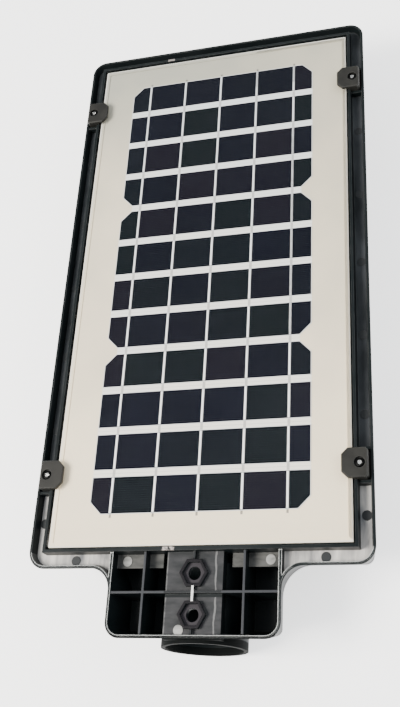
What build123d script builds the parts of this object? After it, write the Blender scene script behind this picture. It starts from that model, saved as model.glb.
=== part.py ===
"""Solar street lamp: one flat lamp head with its panel on top and its lights underneath.

Frame: the origin is the centre of the pole socket's mouth. +Y runs from the mouth to the far end,
+X runs across the lamp, and +Z points up, out of the solar panel. All sizes are in millimetres.
"""

from build123d import *
import math
import os

os.makedirs("parts", exist_ok=True)

# ---------------------------------------------------------------- driving dimensions
body_width = 241.0  # across the rim
body_length = 436.0  # along the rim, without the pole mount
mount_width = 119.0  # pole mount block, across
mount_length = 44.0  # end wall of the mount block to the near rim of the body
collar_length = 2.0  # socket tube standing proud of the end wall

far_corner_radius = 12.0
near_corner_radius = 12.5
cover_corner_radius = 9.0
shoulder_radius = 14.0
mount_corner_radius = 10.5

socket_radius = 26.0  # takes a 50 mm arm tube
socket_wall = 3.0
socket_depth = 48.0
socket_end_wall = 3.0

rim_z = 33.0  # top of the rim over the socket's axis
parting_z = 4.0  # plane where the two shells meet
underside_z = -12.0  # lowest face of the lower cover
skirt_draft = 6.0  # the skirt leans in this much from the rim to the parting plane
cover_draft = 10.0  # and the lower cover this much more
rim_wall = 2.2
shell_wall = 2.5
gutter_depth = 6.5
panel_wall = 2.0
panel_gap = 1.5

panel_width = 212.0
panel_length = 409.0
panel_inset = 14.0  # near rim to the panel's near edge
backsheet_thickness = 0.6
glass_thickness = 3.0
laminate_space = 0.6  # room for the cells between backsheet and glass
edge_tape_width = 3.0
gasket_thickness = 0.8
gasket_width = 8.0

wafer = 156.75  # side of the wafer that the strips are cut from
strips_per_wafer = 6
strip_gap = 4.7
strip_count = 12
strips_per_group = 4
wafer_chamfer = 8.5
cell_thickness = 0.4
array_margin = 22.0  # array's far edge to the panel's far edge
ribbon_count = 5
ribbon_width = 1.7
ribbon_end = 0.8  # bare cell between a ribbon's end and the strip's edge

rib = 1.5
rib_drop = 0.6  # rib tops under the rim
pad_width = 39.0  # flat pad on top of the socket tube
pad_rise = 0.5  # over the tube's crown
clamp_hole_radius = 4.25
clamp_pitch = 26.0
clamp_first = 16.7  # mouth to the first clamp bolt
nut_flats = 13.4  # M8 nut pocket, across flats
nut_pocket_wall = 1.8
side_rib_x = 34.5
cross_rib_y = 30.6

clip_length = 20.0
clip_depth = 17.6  # across the lamp
clip_overlap = 6.5  # over the panel
clip_cap = 2.6  # tongue's thickness over the panel
clip_corner = 4.2
clip_near = 63.6  # near rim to the first pair
clip_far = 377.5  # near rim to the second pair
screw_radius = 1.5
screw_head_radius = 2.9
screw_head_height = 1.7
counterbore_radius = 3.7
counterbore_depth = 2.2

bay_width = 84.0  # lens cover, across
bay_length = 306.0
bay_pitch = 98.0  # between the two bays' centre lines
bay_far_margin = 26.0  # lens cover's far edge to the far rim
lens_rows = 9
lens_columns = 2
lens_cell = 30.0
lens_rise = 3.2
lens_taper = 40.0  # slope of the lens's flanks, in degrees
lens_corner = 5.0
lens_plate = 2.4
lens_rebate = 1.0  # how deep the cover sits in the underside
bay_flange = 5.0  # lens cover's land round its window
lens_gasket_height = 0.5
board_thickness = 1.6
board_lift = 1.2  # raised land round each window, under the board
rim_fillet = 0.9
cover_fillet = 4.0
chips_per_lens = 3

cell_radius = 13.0  # 26650 battery cells
cell_length = 65.0
cell_pitch = 28.0
battery_rows = 3
battery_near = 330.0  # near rim to the middle of the pack
battery_drop = 1.6  # under the deck

control_width = 92.0
control_length = 64.0
control_near = 150.0  # near rim to the middle of the board
control_z = 21.0

head_near = 56.0  # near rim to the motion sensor's axis
dome_radius = 13.0
dome_wall = 1.2
dome_flange = 2.0
button_x = 38.0  # sensor's axis to the button's axis
button_radius = 7.0
button_travel = 1.6
button_proud = 3.4
button_clearance = 0.3
button_flange = 1.5  # keeps the button behind its sleeve
sleeve_height = 7.0  # guide sleeve for the button, over the underside
switch_height = 3.5
head_board_rise = 14.0  # sensor board's lower face over the underside
window_x = -38.0
window_radius = 4.5

clearance = 0.2  # general gap between pieces of one body that don't touch
lead_radius = 0.9
lead_gap = 5.0  # between the two leads of a pair
seal_width = 1.0
seal_height = 1.0
seal_inset = 1.2  # from the joint's outer edge
post_radius = 5.2  # screw posts of the lower cover

# ---------------------------------------------------------------- places worked out from them
end_wall_y = collar_length
near_y = collar_length + mount_length
far_y = near_y + body_length
tube_radius = socket_radius + socket_wall
tube_end_y = socket_depth + socket_end_wall
gutter_z = rim_z - gutter_depth
deck_z = rim_z - 1.6
backsheet_z = deck_z + gasket_thickness
laminate_z = backsheet_z + backsheet_thickness
glass_z = laminate_z + laminate_space
panel_top_z = glass_z + glass_thickness
panel_wall_z = panel_top_z - 1.4
panel_near_y = near_y + panel_inset
panel_far_y = panel_near_y + panel_length
panel_mid_y = (panel_near_y + panel_far_y) / 2
wall_half_x = panel_width / 2 + panel_gap
wall_near_y = panel_near_y - panel_gap
wall_far_y = panel_far_y + panel_gap
bulkhead_y = wall_near_y - panel_wall
rib_z = rim_z - rib_drop
pad_z = tube_radius + pad_rise
mount_floor_z = parting_z + shell_wall
deck_under_z = deck_z - shell_wall
cover_floor_z = underside_z + shell_wall
strip_height = wafer / strips_per_wafer
strip_pitch = strip_height + strip_gap
array_far_y = panel_far_y - array_margin
head_y = near_y + head_near
bay_mid_y = far_y - bay_far_margin - bay_length / 2
clip_rows = (near_y + clip_near, near_y + clip_far)
clamp_rows = (clamp_first, clamp_first + clamp_pitch)
clip_seat_z = gutter_z + 3.5
clip_top_z = panel_top_z + clip_cap
clip_inner_x = panel_width / 2 - clip_overlap
clip_outer_x = clip_inner_x + clip_depth
clip_screw_x = clip_outer_x - 5.4
battery_y = near_y + battery_near
control_y = near_y + control_near
battery_z = deck_under_z - battery_drop - cell_radius
board_z = cover_floor_z + board_lift

parts = {}


# ---------------------------------------------------------------- small builders
def box(x0, x1, y0, y1, z0, z1):
    """A box between two corners."""
    middle = Pos((x0 + x1) / 2, (y0 + y1) / 2, (z0 + z1) / 2)
    return middle * Box(abs(x1 - x0), abs(y1 - y0), abs(z1 - z0))


def post(x, y, z0, z1, radius):
    """An upright round post."""
    return Pos(x, y, (z0 + z1) / 2) * Cylinder(radius, z1 - z0)


def rod_x(x0, x1, y, z, radius):
    """A round rod along X."""
    return Pos((x0 + x1) / 2, y, z) * Rot(0, 90, 0) * Cylinder(radius, x1 - x0)


def rod_y(x, y0, y1, z, radius):
    """A round rod along Y."""
    return Pos(x, (y0 + y1) / 2, z) * Rot(90, 0, 0) * Cylinder(radius, y1 - y0)


def plate(x0, x1, y0, y1, z0, z1, radius):
    """A flat plate with rounded corners in plan."""
    plan = Pos((x0 + x1) / 2, (y0 + y1) / 2, z0) * RectangleRounded(x1 - x0, y1 - y0, radius)
    return extrude(plan, z1 - z0)


def ring(x0, x1, y0, y1, z0, z1, width, radius):
    """A flat rectangular ring, such as a gasket."""
    outer = plate(x0, x1, y0, y1, z0, z1, radius)
    inner_radius = max(radius - width, 0.5)
    return outer - plate(x0 + width, x1 - width, y0 + width, y1 - width, z0, z1, inner_radius)


def mirrored(shape):
    """The same shape on the other side of the lamp's middle plane."""
    return mirror(shape, about=Plane.YZ)


def screw(x, y, head_z, length, up=True):
    """A pan-head screw with a cross recess. Its head's seat is at head_z; up says where the head is."""
    way = 1 if up else -1
    seat = min(head_z, head_z + way * screw_head_height)
    head = post(x, y, seat, seat + screw_head_height, screw_head_radius)
    rim_edges = head.edges().group_by(Axis.Z)[-1 if up else 0]
    head = fillet(rim_edges, screw_head_height * 0.45)
    shank_far = head_z - way * length
    shank = post(x, y, min(head_z, shank_far), max(head_z, shank_far), screw_radius)
    top = head_z + way * screw_head_height
    deep = top - way * screw_head_height * 0.6
    slot = screw_head_radius * 0.55
    cross = box(x - slot, x + slot, y - 0.3, y + 0.3, min(deep, top), max(deep, top))
    cross += box(x - 0.3, x + 0.3, y - slot, y + slot, min(deep, top), max(deep, top))
    return head + shank - cross


def outline(inset, z):
    """The lamp's outline seen from above, body and mount together, moved in by inset."""
    half_body = body_width / 2 - inset
    half_mount = mount_width / 2 - inset
    low_body = near_y + inset
    low_mount = end_wall_y + inset
    high = far_y - inset
    body = Pos(0, (low_body + high) / 2) * Rectangle(2 * half_body, high - low_body)
    mount_top = low_body + 2 * far_corner_radius
    mount = Pos(0, (low_mount + mount_top) / 2) * Rectangle(2 * half_mount, mount_top - low_mount)
    shape = body + mount
    corners = (
        (half_body, high, far_corner_radius - inset),
        (half_body, low_body, near_corner_radius - inset),
        (half_mount, low_body, shoulder_radius + inset),
        (half_mount, low_mount, mount_corner_radius - inset),
    )
    for x, y, radius in corners:
        near = [v for v in shape.vertices() if abs(abs(v.X) - x) < 0.01 and abs(v.Y - y) < 0.01]
        shape = fillet(near, max(radius, 0.5))
    return Pos(0, 0, z) * shape


def body_outline(inset, z, radius):
    """The outline of the body alone, as the lower cover has it."""
    low = near_y + inset
    high = far_y - inset
    return Pos(0, (low + high) / 2, z) * RectangleRounded(body_width - 2 * inset, high - low, radius)


def cable(points, radius):
    """A round lead along straight runs joined by arcs, each as large as its two runs allow."""
    turns = []
    for before, corner, after in zip(points, points[1:], points[2:]):
        into = Vector(*corner) - Vector(*before)
        out = Vector(*after) - Vector(*corner)
        half_turn = math.radians(into.get_angle(out)) / 2
        turns.append(0.45 * min(into.length, out.length) / math.tan(half_turn))
    path = FilletPolyline(*points, radius=turns)
    start = Vector(*points[1]) - Vector(*points[0])
    section = Plane(origin=points[0], z_dir=start) * Circle(radius)
    lead = sweep(section, path=path)
    print("lead: length %.1f, radii" % path.length, [round(t, 1) for t in turns])
    print("  volume over section times length: %.4f" % (lead.volume / (math.pi * radius**2 * path.length)))
    return lead


def save(name, shape):
    """Keeps a sub-part under its node's name."""
    parts[name] = shape


# ---------------------------------------------------------------- upper housing
cover_screw_x = body_width / 2 - 24.5
cover_screw_margin = 26.0
cover_screw_rows = [
    near_y + cover_screw_margin + i * (body_length - 2 * cover_screw_margin) / 4 for i in range(5)
]
cover_screw_spots = [(side * cover_screw_x, y) for side in (-1, 1) for y in cover_screw_rows]
boss_radius = 4.0
clip_boss = 9.0  # clip screw's boss under the gutter
boss_hole_radius = screw_radius + 0.05
control_spots = [
    (sx * (control_width / 2 - 5.0), control_y + sy * (control_length / 2 - 5.0))
    for sx in (-1, 1)
    for sy in (-1, 1)
]
cradle_half_x = cell_length + 8.0
cradle_half_y = battery_rows * cell_pitch / 2 + 3.0
cradle_ear = 7.0
ear_thickness = 2.5
cradle_spots = [
    (sx * (cradle_half_x - 12.0), battery_y + sy * (cradle_half_y + cradle_ear / 2))
    for sx in (-1, 1)
    for sy in (-1, 1)
]
well_width = 62.0  # well in the deck for the panel's junction box
well_length = 46.0
well_y = panel_mid_y
mark_radius = 3.3
mark_height = 0.3
shelf_z = rim_z - 9.0
mark_rows = [near_y + step for step in (32.0, 100.0, 158.0, 216.0, 274.0, 332.0)]
end_mark_x = 87.0  # gutter marks at the near end
shelf_mark_x = 50.0
pad_mark = (-9.0, 7.6)
shelf_depth = 9.0
gusset_reach = 62.0  # the gusset's outer corner, past the mount's own corner
gusset_side = 16.0


def nut_pocket(y):
    """A raised hexagonal wall that keeps a clamp bolt's nut from turning."""
    outer = (nut_flats + 2 * nut_pocket_wall) / math.sqrt(3)
    inner = nut_flats / math.sqrt(3)
    wall = Pos(0, y, pad_z) * extrude(RegularPolygon(outer, 6), rib_z - pad_z)
    return wall, Pos(0, y, pad_z) * extrude(RegularPolygon(inner, 6), rib_z - pad_z + 1)


def upper_housing():
    """Rim, gutter, panel wall and deck, with the pole mount's ribs and socket, all one moulding."""
    outside = loft([outline(skirt_draft, parting_z), outline(0, rim_z)], ruled=True)
    outside = fillet(outside.edges().group_by(Axis.Z)[-1], rim_fillet)
    inside_low = outline(skirt_draft + shell_wall, parting_z)
    inside_high = outline(rim_wall, rim_z)
    shell = outside - loft([inside_low, inside_high], ruled=True)

    # gutter floor and the deck under the panel, cut to the skirt's own shape
    core = outside & box(-body_width, body_width, bulkhead_y, far_y, gutter_z - shell_wall, gutter_z)
    shell += core - box(-wall_half_x, wall_half_x, wall_near_y, wall_far_y, 0, rim_z)
    shell += box(
        -wall_half_x - panel_wall,
        wall_half_x + panel_wall,
        bulkhead_y,
        wall_far_y + panel_wall,
        gutter_z - shell_wall,
        panel_wall_z,
    ) - box(-wall_half_x, wall_half_x, wall_near_y, wall_far_y, 0, panel_top_z)
    shell += box(-wall_half_x, wall_half_x, wall_near_y, wall_far_y, deck_under_z, deck_z)

    # gutter floor beside the mount, out to the shoulders
    half_mount = mount_width / 2
    shoulder = outside & box(-body_width, body_width, 0, bulkhead_y, gutter_z - shell_wall, gutter_z)
    inner_mount = half_mount - rim_wall
    shell += shoulder - box(-inner_mount, inner_mount, 0, bulkhead_y, 0, rim_z)
    for side in (-1, 1):
        inner = side * inner_mount
        outer = side * half_mount
        start = near_y - shoulder_radius - 1
        shell += box(inner, outer, start, bulkhead_y + 1, parting_z, rim_z) & outside

    # mount: floor, bulkhead and ribs
    floor = outside & box(-half_mount, half_mount, 0, bulkhead_y, parting_z, mount_floor_z)
    shell += floor
    shell += box(-half_mount, half_mount, bulkhead_y, bulkhead_y + shell_wall, parting_z, panel_wall_z)
    ribs = box(-half_mount, half_mount, cross_rib_y - rib / 2, cross_rib_y + rib / 2, parting_z, rib_z)
    for x in (-side_rib_x, side_rib_x):
        ribs += box(x - rib / 2, x + rib / 2, end_wall_y, bulkhead_y, parting_z, rib_z)
    ribs += box(-rib / 2, rib / 2, end_wall_y, bulkhead_y, pad_z - 1, rib_z)
    for side in (-1, 1):
        shelf_in = side * (side_rib_x - 10.5)
        shelf_out = side * half_mount
        ribs += box(shelf_in, shelf_out, bulkhead_y - shelf_depth, bulkhead_y, shelf_z - rib, shelf_z)
        shelf_mark_y = bulkhead_y - shelf_depth / 2
        ribs += post(side * shelf_mark_x, shelf_mark_y, shelf_z, shelf_z + mark_height, mark_radius)
    shell += ribs & outside
    gusset_start = gusset_reach - gusset_side
    gusset = Polyline((gusset_start, 0), (gusset_reach, 0), (gusset_reach, gusset_side), close=True)
    gusset = Pos(0, end_wall_y, shelf_z - rib) * make_face(gusset)
    shell += extrude(gusset, rib) & outside

    # socket tube with its flat pad and the two nut pockets
    shell += rod_y(0, 0, tube_end_y, 0, tube_radius)
    shell += box(-pad_width / 2, pad_width / 2, end_wall_y, bulkhead_y, socket_radius / 2, pad_z)
    shell += post(*pad_mark, pad_z, pad_z + mark_height, mark_radius)
    for y in clamp_rows:
        wall, pocket = nut_pocket(y)
        shell += wall
        shell -= pocket
    shell -= rod_y(0, -1, socket_depth, 0, socket_radius)
    for y in clamp_rows:
        shell -= post(0, y, -tube_radius - 1, rim_z, clamp_hole_radius)

    # seats and cross walls for the panel clips
    for y in clip_rows:
        for side in (-1, 1):
            x0 = side * wall_half_x
            x1 = side * (body_width / 2 - rim_wall / 2)
            half = clip_length / 2 + clearance
            seat = box(x0, x1, y - half - panel_wall, y + half + panel_wall, gutter_z - 1, rib_z)
            seat -= box(x0, side * body_width, y - half, y + half, clip_seat_z, rim_z + 9)
            shell += seat & outside
            slot = box(x0 - side, x0 + side * (panel_wall + 1), y - half, y + half, clip_seat_z, rim_z + 9)
            shell -= slot
            shell += post(side * clip_screw_x, y, gutter_z - clip_boss, gutter_z, boss_radius - 0.5)
            shell -= post(side * clip_screw_x, y, gutter_z - clip_boss + 1.5, clip_seat_z, boss_hole_radius)

    # moulding marks in the gutter
    mark_x = (wall_half_x + panel_wall + body_width / 2 - rim_wall) / 2
    for y in mark_rows:
        for side in (-1, 1):
            shell += post(side * mark_x, y, gutter_z, gutter_z + mark_height, mark_radius)
    for side in (-1, 1):
        mark_y = (near_y + rim_wall + bulkhead_y) / 2
        shell += post(side * end_mark_x, mark_y, gutter_z, gutter_z + mark_height, mark_radius)

    # well for the panel's junction box, with the port for its leads
    well_near_y = well_y - well_length / 2
    shell -= box(-well_width / 2, well_width / 2, well_near_y, well_near_y + well_length, 0, deck_z)

    # bosses under the deck
    for x, y in cover_screw_spots:
        shell += post(x, y, parting_z, deck_under_z, boss_radius)
        shell -= post(x, y, parting_z - 1, parting_z + 12.0, boss_hole_radius)
    for x, y in control_spots:
        shell += post(x, y, control_z, deck_under_z, boss_radius - 1)
        shell -= post(x, y, control_z - 1, control_z + 6.0, boss_hole_radius)
    for x, y in cradle_spots:
        shell += post(x, y, battery_z, deck_under_z, boss_radius - 1)
        shell -= post(x, y, battery_z - 1, battery_z + 8.0, boss_hole_radius)
    return shell


save("upper_housing", upper_housing())


# ---------------------------------------------------------------- lower cover
def bay_window(side):
    """The lens cover's rebate and its window, to cut from the lower cover."""
    x = side * bay_pitch / 2
    half_x = bay_width / 2 + clearance
    half_y = bay_length / 2 + clearance
    rebate = plate(x - half_x, x + half_x, bay_mid_y - half_y, bay_mid_y + half_y, underside_z - 1,
                   underside_z + lens_rebate + lens_gasket_height, 6.0)
    win_x = bay_width / 2 - bay_flange
    win_y = bay_length / 2 - bay_flange
    window = plate(x - win_x, x + win_x, bay_mid_y - win_y, bay_mid_y + win_y, underside_z - 1, 0, 4.0)
    return rebate + window


land_half_x = bay_width / 2 + 3.0  # raised land inside the cover, round each window
land_half_y = bay_length / 2 + 3.0
board_half_x = bay_width / 2 - bay_flange + 4.5
board_half_y = bay_length / 2 - bay_flange + 4.5
board_screw_spots = [
    (side * bay_pitch / 2 + sx * (board_half_x - 2.2), bay_mid_y + sy * share * (board_half_y - 2.2))
    for side in (-1, 1)
    for sx in (-1, 1)
    for sy, share in ((-1, 1), (1, 1), (1, 0))
]
head_board_z = underside_z + head_board_rise
head_screw_spots = [(window_x + 14.0, head_y + 12.0), (button_x - 13.0, head_y - 12.0)]


def lower_cover():
    """The tray that closes the lamp from below, with its two light bays, sensor port and button port."""
    corner = far_corner_radius - skirt_draft
    low = body_outline(skirt_draft + cover_draft, underside_z, cover_corner_radius)
    high = body_outline(skirt_draft, parting_z, corner)
    tray = loft([low, high], ruled=True)
    tray = fillet(tray.edges().group_by(Axis.Z)[0], cover_fillet)
    thick = skirt_draft + shell_wall
    hollow_low = body_outline(thick + cover_draft, cover_floor_z, cover_corner_radius - shell_wall)
    hollow_high = body_outline(thick, parting_z, corner - shell_wall)
    tray -= loft([hollow_low, hollow_high], ruled=True)
    for side in (-1, 1):
        x = side * bay_pitch / 2
        tray += plate(x - land_half_x, x + land_half_x, bay_mid_y - land_half_y, bay_mid_y + land_half_y,
                      cover_floor_z, board_z, 4.0)
    for side in (-1, 1):
        tray -= bay_window(side)
    for x, y in board_screw_spots:
        tray -= post(x, y, board_z - 1.7, board_z + 1, boss_hole_radius)
    for x, y in cover_screw_spots:
        tray += post(x, y, cover_floor_z - 1, parting_z, post_radius)
        tray -= post(x, y, underside_z - 1, parting_z + 1, screw_radius + clearance)
        tray -= post(x, y, underside_z - 1, underside_z + 4.0, counterbore_radius)
    tray -= post(0, head_y, underside_z - 1, cover_floor_z + 1, dome_radius + clearance)
    tray += post(button_x, head_y, underside_z, underside_z + sleeve_height, button_radius + 2.4)
    tray -= post(button_x, head_y, underside_z - 1, underside_z + sleeve_height + 1,
                 button_radius + button_clearance)
    tray -= post(window_x, head_y, underside_z - 1, cover_floor_z + 1, window_radius + clearance)
    for x, y in head_screw_spots:
        tray += post(x, y, cover_floor_z, head_board_z, boss_radius - 0.5)
        tray -= post(x, y, cover_floor_z + 2.0, head_board_z + 1, boss_hole_radius)
    return tray - seal_ring()


def seal_ring():
    """The groove in the cover's upper edge, and the cord seal that fills it."""
    corner = far_corner_radius - skirt_draft
    inset = skirt_draft + seal_inset
    outer = body_outline(inset, parting_z - seal_height, corner - seal_inset)
    inner_corner = corner - seal_inset - seal_width
    inner = body_outline(inset + seal_width, parting_z - seal_height, inner_corner)
    return extrude(outer - inner, seal_height)


save("lower_cover", lower_cover())
save("cover_seal", seal_ring())

cover_screws = Compound(
    children=[screw(x, y, underside_z + 4.0, 22.0, up=False) for x, y in cover_screw_spots]
)
save("cover_screws", cover_screws)

# ---------------------------------------------------------------- solar panel
panel_x = panel_width / 2


def strip(index):
    """One cell strip. The first and last strip of each wafer group keep the wafer's cut corners."""
    top = array_far_y - index * strip_pitch
    low = top - strip_height
    half = wafer / 2
    cut = wafer_chamfer
    place = index % strips_per_group
    points = []
    if place == strips_per_group - 1:
        points += [(-half + cut, low), (half - cut, low), (half, low + cut)]
    else:
        points += [(-half, low), (half, low)]
    if place == 0:
        points += [(half, top - cut), (half - cut, top), (-half + cut, top), (-half, top - cut)]
    else:
        points += [(half, top), (-half, top)]
    if place == strips_per_group - 1:
        points += [(-half, low + cut)]
    face = make_face(Polyline(*points, close=True))
    return extrude(Pos(0, 0, laminate_z) * face, cell_thickness)


def ribbons():
    """Tinned ribbons on each strip, five to a strip."""
    solids = []
    for index in range(strip_count):
        top = array_far_y - index * strip_pitch - ribbon_end
        low = top - strip_height + 2 * ribbon_end
        for k in range(ribbon_count):
            x = (k - (ribbon_count - 1) / 2) * wafer / ribbon_count
            half = ribbon_width / 2
            solids.append(box(x - half, x + half, low, top, laminate_z + cell_thickness, glass_z))
    return Compound(children=solids)


gasket = ring(-panel_x, panel_x, panel_near_y, panel_far_y, deck_z, backsheet_z, gasket_width, 1.5)
save("panel_gasket", gasket)
backsheet = box(-panel_x, panel_x, panel_near_y, panel_far_y, backsheet_z, laminate_z)
save("panel_backsheet", backsheet)
save("solar_cells", Compound(children=[strip(i) for i in range(strip_count)]))
save("cell_ribbons", ribbons())
edge_tape = ring(-panel_x, panel_x, panel_near_y, panel_far_y, laminate_z, glass_z, edge_tape_width, 1.0)
save("panel_edge_tape", edge_tape)
glass = box(-panel_x, panel_x, panel_near_y, panel_far_y, glass_z, panel_top_z)
glass = chamfer(glass.edges().filter_by(Axis.Z), 0.8)
save("panel_glass", glass)

# junction box on the panel's back, in the deck's well
jbox_width = well_width - 8.0
jbox_length = well_length - 8.0
jbox_height = 13.0
jbox_wall = 1.8
jbox_wire_z = backsheet_z - 7.0


def junction_box():
    """Potting box glued to the panel's back, open downwards."""
    hx = jbox_width / 2
    hy = jbox_length / 2
    body = plate(-hx, hx, well_y - hy, well_y + hy, backsheet_z - jbox_height, backsheet_z, 3.0)
    w = jbox_wall
    body -= plate(-hx + w, hx - w, well_y - hy + w, well_y + hy - w,
                  backsheet_z - jbox_height - 1, backsheet_z - w, 2.0)
    for x in (-lead_gap / 2, lead_gap / 2):
        body -= rod_y(x, well_y - hy - 1, well_y - hy + w + 1, jbox_wire_z, lead_radius + 0.05)
    return body


save("junction_box", junction_box())
lid_z = backsheet_z - jbox_height - jbox_wall
hx = jbox_width / 2
hy = jbox_length / 2
save("junction_box_lid", plate(-hx, hx, well_y - hy, well_y + hy, lid_z, lid_z + jbox_wall, 3.0))


# ---------------------------------------------------------------- panel clips and their screws
def clip(side, y):
    """A clamp that stands in its seat by the rim and holds the panel's edge with an eight-sided tongue."""
    half = clip_length / 2
    inner = clip_inner_x
    outer = clip_outer_x
    cut = clip_corner
    plan = Polyline(
        (inner, -half + cut),
        (inner + cut, -half),
        (outer - 1.5, -half),
        (outer, -half + 1.5),
        (outer, half - 1.5),
        (outer - 1.5, half),
        (inner + cut, half),
        (inner, half - cut),
        close=True,
    )
    body = extrude(Pos(0, 0, clip_seat_z) * make_face(plan), clip_top_z - clip_seat_z)
    top_edges = body.edges().group_by(Axis.Z)[-1]
    body = chamfer(top_edges, 0.6)
    body -= box(0, wall_half_x + clearance, -half, half, 0, panel_top_z)
    body -= post(clip_screw_x, 0, 0, clip_top_z + 1, screw_radius + clearance)
    body -= post(clip_screw_x, 0, clip_top_z - counterbore_depth, clip_top_z + 1, counterbore_radius)
    body = body if side > 0 else mirrored(body)
    return Pos(0, y, 0) * body


clip_names = ("near_left", "near_right", "far_left", "far_right")
clip_spots = [(side, y) for y in clip_rows for side in (-1, 1)]
for name, (side, y) in zip(clip_names, clip_spots):
    save("panel_clip_" + name, clip(side, y))
clip_screws = [
    screw(side * clip_screw_x, y, clip_top_z - counterbore_depth, 14.0) for side, y in clip_spots
]
save("clip_screws", Compound(children=clip_screws))

# ---------------------------------------------------------------- light bays
lens_pitch_x = (bay_width - 2 * bay_flange - 6.0) / lens_columns
lens_pitch_y = (bay_length - 2 * bay_flange - 6.0) / lens_rows
lens_spots = [
    (
        (i - (lens_columns - 1) / 2) * lens_pitch_x,
        bay_mid_y + (j - (lens_rows - 1) / 2) * lens_pitch_y,
    )
    for i in range(lens_columns)
    for j in range(lens_rows)
]


def lens_cover(side):
    """Clear cover with one square, raised lens over each group of chips."""
    x = side * bay_pitch / 2
    half_x = bay_width / 2
    half_y = bay_length / 2
    z = underside_z + lens_rebate
    cover = plate(x - half_x, x + half_x, bay_mid_y - half_y, bay_mid_y + half_y, z - lens_plate, z, 5.8)
    for dx, y in lens_spots:
        base = Pos(x + dx, y, z - lens_plate) * RectangleRounded(lens_cell, lens_cell, lens_corner)
        cover += extrude(base, lens_rise, dir=(0, 0, -1), taper=lens_taper)
    return cover


def lens_gasket(side):
    """Flat gasket between the lens cover and its rebate."""
    x = side * bay_pitch / 2
    z = underside_z + lens_rebate
    half_x = bay_width / 2
    half_y = bay_length / 2
    return ring(x - half_x, x + half_x, bay_mid_y - half_y, bay_mid_y + half_y, z, z + lens_gasket_height,
                bay_flange - 0.6, 5.8)


def light_board(side):
    """Aluminium circuit board that carries the chips, screwed inside the cover over its window."""
    x = side * bay_pitch / 2
    board = plate(x - board_half_x, x + board_half_x, bay_mid_y - board_half_y, bay_mid_y + board_half_y,
                  board_z, board_z + board_thickness, 3.0)
    for sx, sy in board_screw_spots:
        board -= post(sx, sy, board_z - 1, board_z + 3, screw_radius + clearance)
    return board


def chips(side):
    """Light-emitting chips under the board, a short row under each lens."""
    x = side * bay_pitch / 2
    solids = []
    for dx, y in lens_spots:
        for k in range(chips_per_lens):
            cx = x + dx + (k - (chips_per_lens - 1) / 2) * 7.0
            solids.append(box(cx - 1.5, cx + 1.5, y - 1.5, y + 1.5, board_z - 0.7, board_z))
    return Compound(children=solids)


for side, word in ((-1, "left"), (1, "right")):
    save("lens_cover_" + word, lens_cover(side))
    save("lens_gasket_" + word, lens_gasket(side))
    save("light_board_" + word, light_board(side))
    save("light_chips_" + word, chips(side))

board_screws = [screw(x, y, board_z + board_thickness, board_thickness + 1.6) for x, y in board_screw_spots]
save("board_screws", Compound(children=board_screws))
light_plug_y = bay_mid_y - board_half_y + 3.0
light_plug_height = 5.0
light_plug_z = board_z + board_thickness
plug_half = 6.0  # half a wire plug's width
plug_length = 8.0
light_plugs = [
    box(x - plug_half, x + plug_half, light_plug_y, light_plug_y + plug_length, light_plug_z,
        light_plug_z + light_plug_height)
    for x in (-bay_pitch / 2, bay_pitch / 2)
]
save("light_plugs", Compound(children=light_plugs))

# ---------------------------------------------------------------- battery
column_x = cell_length / 2 + 3.0
strip_reach = (battery_rows - 1) / 2 * cell_pitch + 6.0  # half a nickel strip's length
nickel_thickness = 0.3
nickel_half_height = 4.0
cell_button_radius = 4.5
cell_button_height = 1.0
battery_spots = [
    (side * column_x, battery_y + (row - (battery_rows - 1) / 2) * cell_pitch)
    for side in (-1, 1)
    for row in range(battery_rows)
]


def battery_cell(x, y):
    """One round cell lying across the lamp, with its raised positive end."""
    end = x + cell_length / 2
    can = rod_x(x - cell_length / 2, end - cell_button_height, y, battery_z, cell_radius)
    return can + rod_x(end - cell_button_height, end, y, battery_z, cell_button_radius)


save("battery_cells", Compound(children=[battery_cell(x, y) for x, y in battery_spots]))


def battery_strips():
    """Nickel strips that join the cells' ends, one at each end of both columns."""
    low, high = battery_y - strip_reach, battery_y + strip_reach
    bottom, top = battery_z - nickel_half_height, battery_z + nickel_half_height
    solids = []
    for side in (-1, 1):
        for end in (-1, 1):
            face = side * column_x + end * cell_length / 2
            solids.append(box(face, face + end * nickel_thickness, low, high, bottom, top))
    return Compound(children=solids)


save("battery_strips", battery_strips())


def battery_cradle():
    """Moulded saddle under the cells, screwed to the deck's posts by its four ears."""
    top = battery_z
    bottom = battery_z - cell_radius - 2.0
    near, far = battery_y - cradle_half_y, battery_y + cradle_half_y
    block = box(-cradle_half_x, cradle_half_x, near, far, bottom, top)
    for x, y in battery_spots:
        reach = cell_length / 2 + 1.0
        block -= rod_x(x - reach, x + reach, y, battery_z, cell_radius + clearance)
    block -= box(-4.0, 4.0, battery_y - cradle_half_y + 2, battery_y + cradle_half_y - 2, bottom + 2, top)
    slot_near, slot_far = battery_y - strip_reach - 1.0, battery_y + strip_reach + 1.0
    slot_low = top - nickel_half_height - 1.0
    slot_half = nickel_thickness + 0.5
    for side in (-1, 1):
        for end in (-1, 1):
            face = side * column_x + end * cell_length / 2
            block -= box(face - slot_half, face + slot_half, slot_near, slot_far, slot_low, top)
    for x, y in cradle_spots:
        ear_near, ear_far = y - cradle_ear / 2 - 1, y + cradle_ear / 2
        block += box(x - boss_radius, x + boss_radius, ear_near, ear_far, top - ear_thickness, top)
        block -= post(x, y, top - 3, top + 1, screw_radius + clearance)
    return block


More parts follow.
